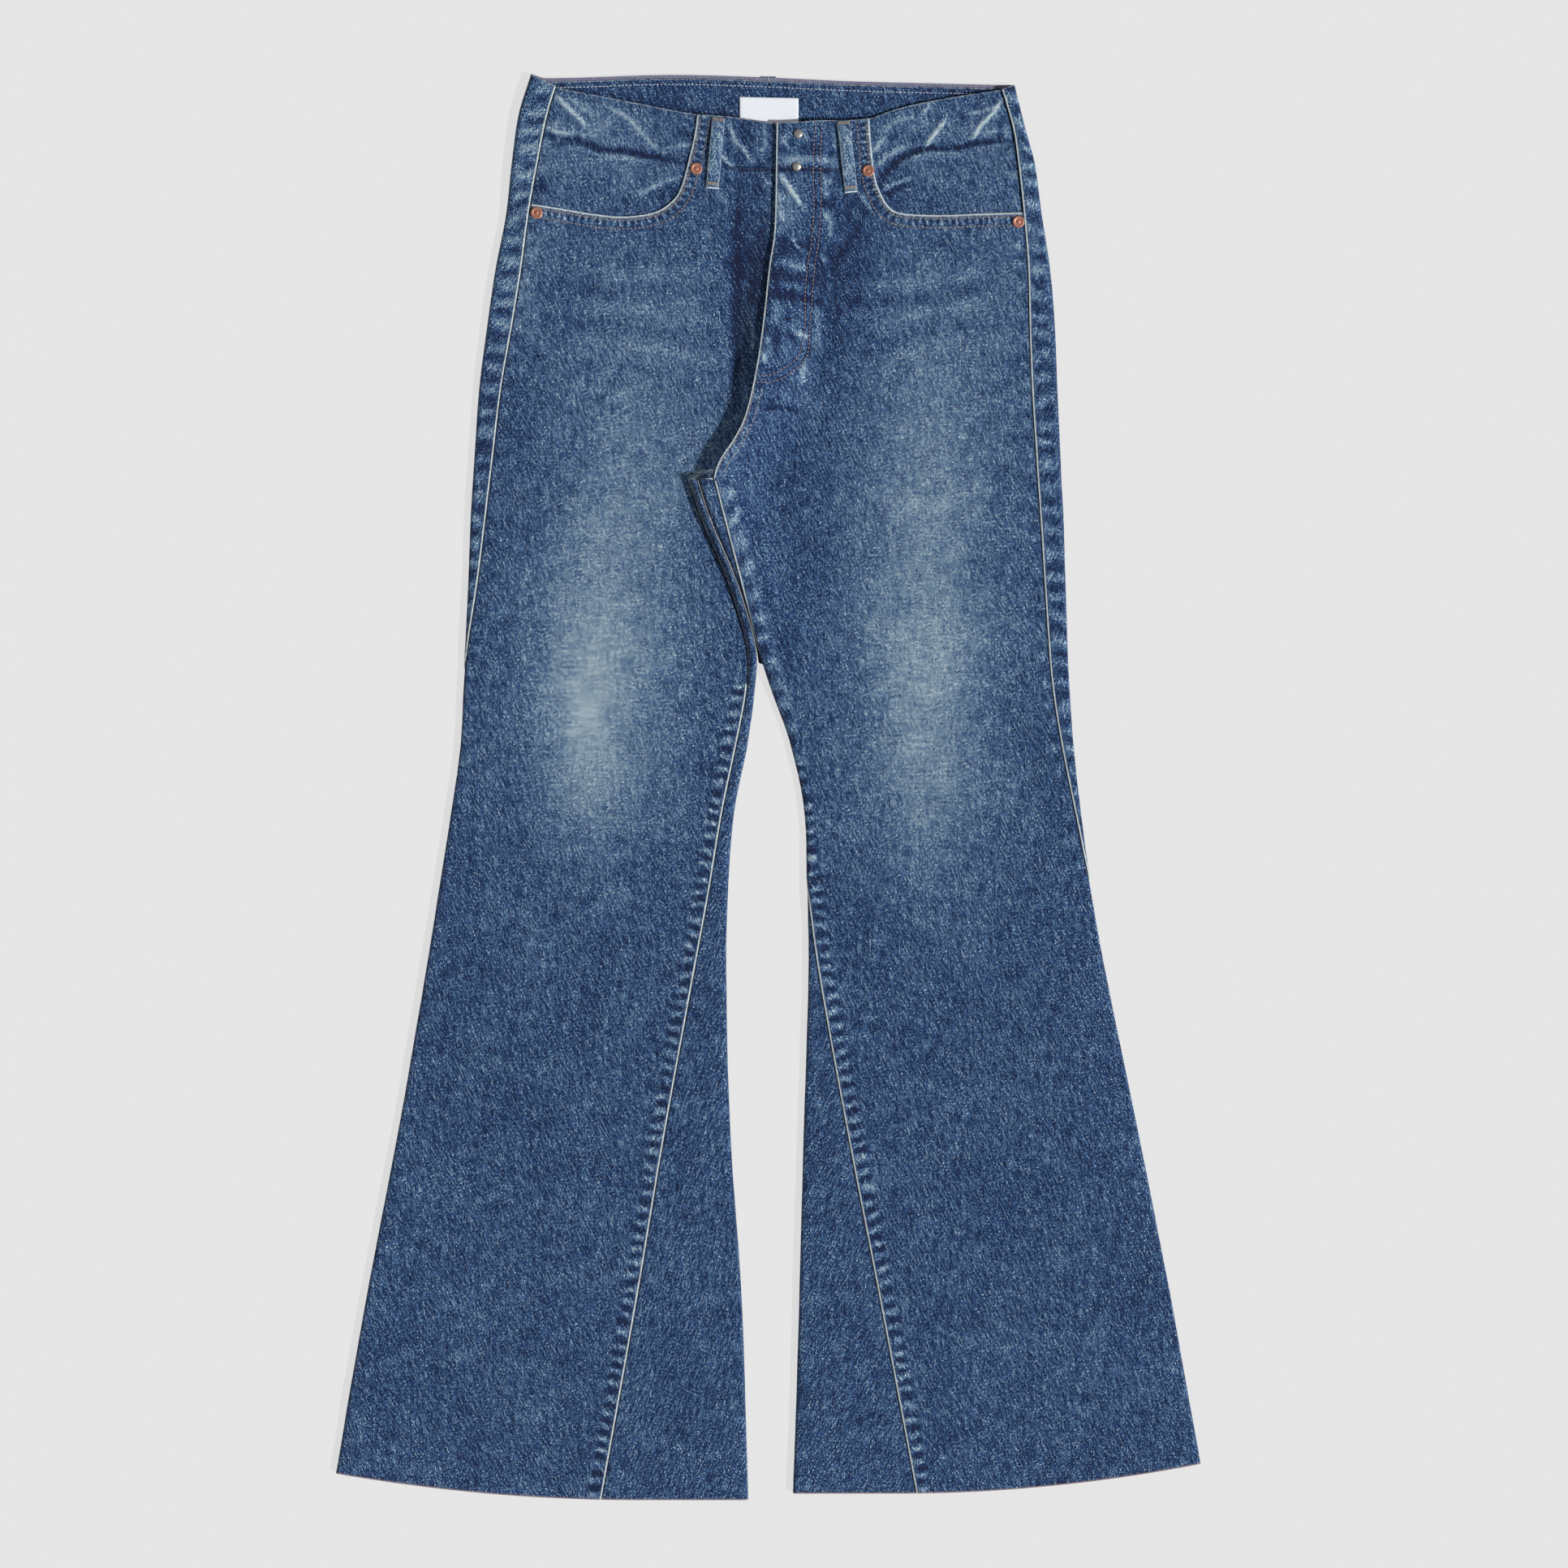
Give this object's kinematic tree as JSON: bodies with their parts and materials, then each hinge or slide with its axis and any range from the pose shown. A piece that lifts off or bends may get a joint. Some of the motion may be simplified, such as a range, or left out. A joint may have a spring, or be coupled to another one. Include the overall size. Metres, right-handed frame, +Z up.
{
  "type": "flared jeans laid flat",
  "caption": "Flared denim jeans laid flat on their back: panels with wrapped side strips, scoop pockets, fly band, belt loops, rivets, studs and a bare label.",
  "frame": {"origin": "on the surface that the jeans lie on, under the middle of their outline", "axes": "+Z up from the surface, +Y from the hems towards the waist, +X towards the wearer's left"},
  "size_m": [0.6718, 1.1078, 0.019],
  "materials": {
    "denim": "washed mid-blue denim with a twill, slubs, faded thighs and worn seams",
    "denim_inside": "inside of the waist, dark washed denim",
    "label": "plain white woven label, bare",
    "copper": "satin copper rivets, slightly tarnished",
    "nickel": "satin nickel domed studs"
  },
  "bodies": {
    "root": {"back_panel_right": "denim", "back_panel_left": "denim", "front_panel_right": "denim", "front_panel_left": "denim", "pocket_facing_right": "denim", "pocket_facing_left": "denim", "fly_band": "denim", "waist_facing": "denim_inside", "label": "label", "belt_loop_front_right": "denim", "belt_loop_front_left": "denim", "belt_loop_back_centre": "denim", "rivet_right_front": "copper", "rivet_right_side": "copper", "rivet_left_front": "copper", "rivet_left_side": "copper", "stud_upper": "nickel", "stud_lower": "nickel"}
  },
  "joints": []
}
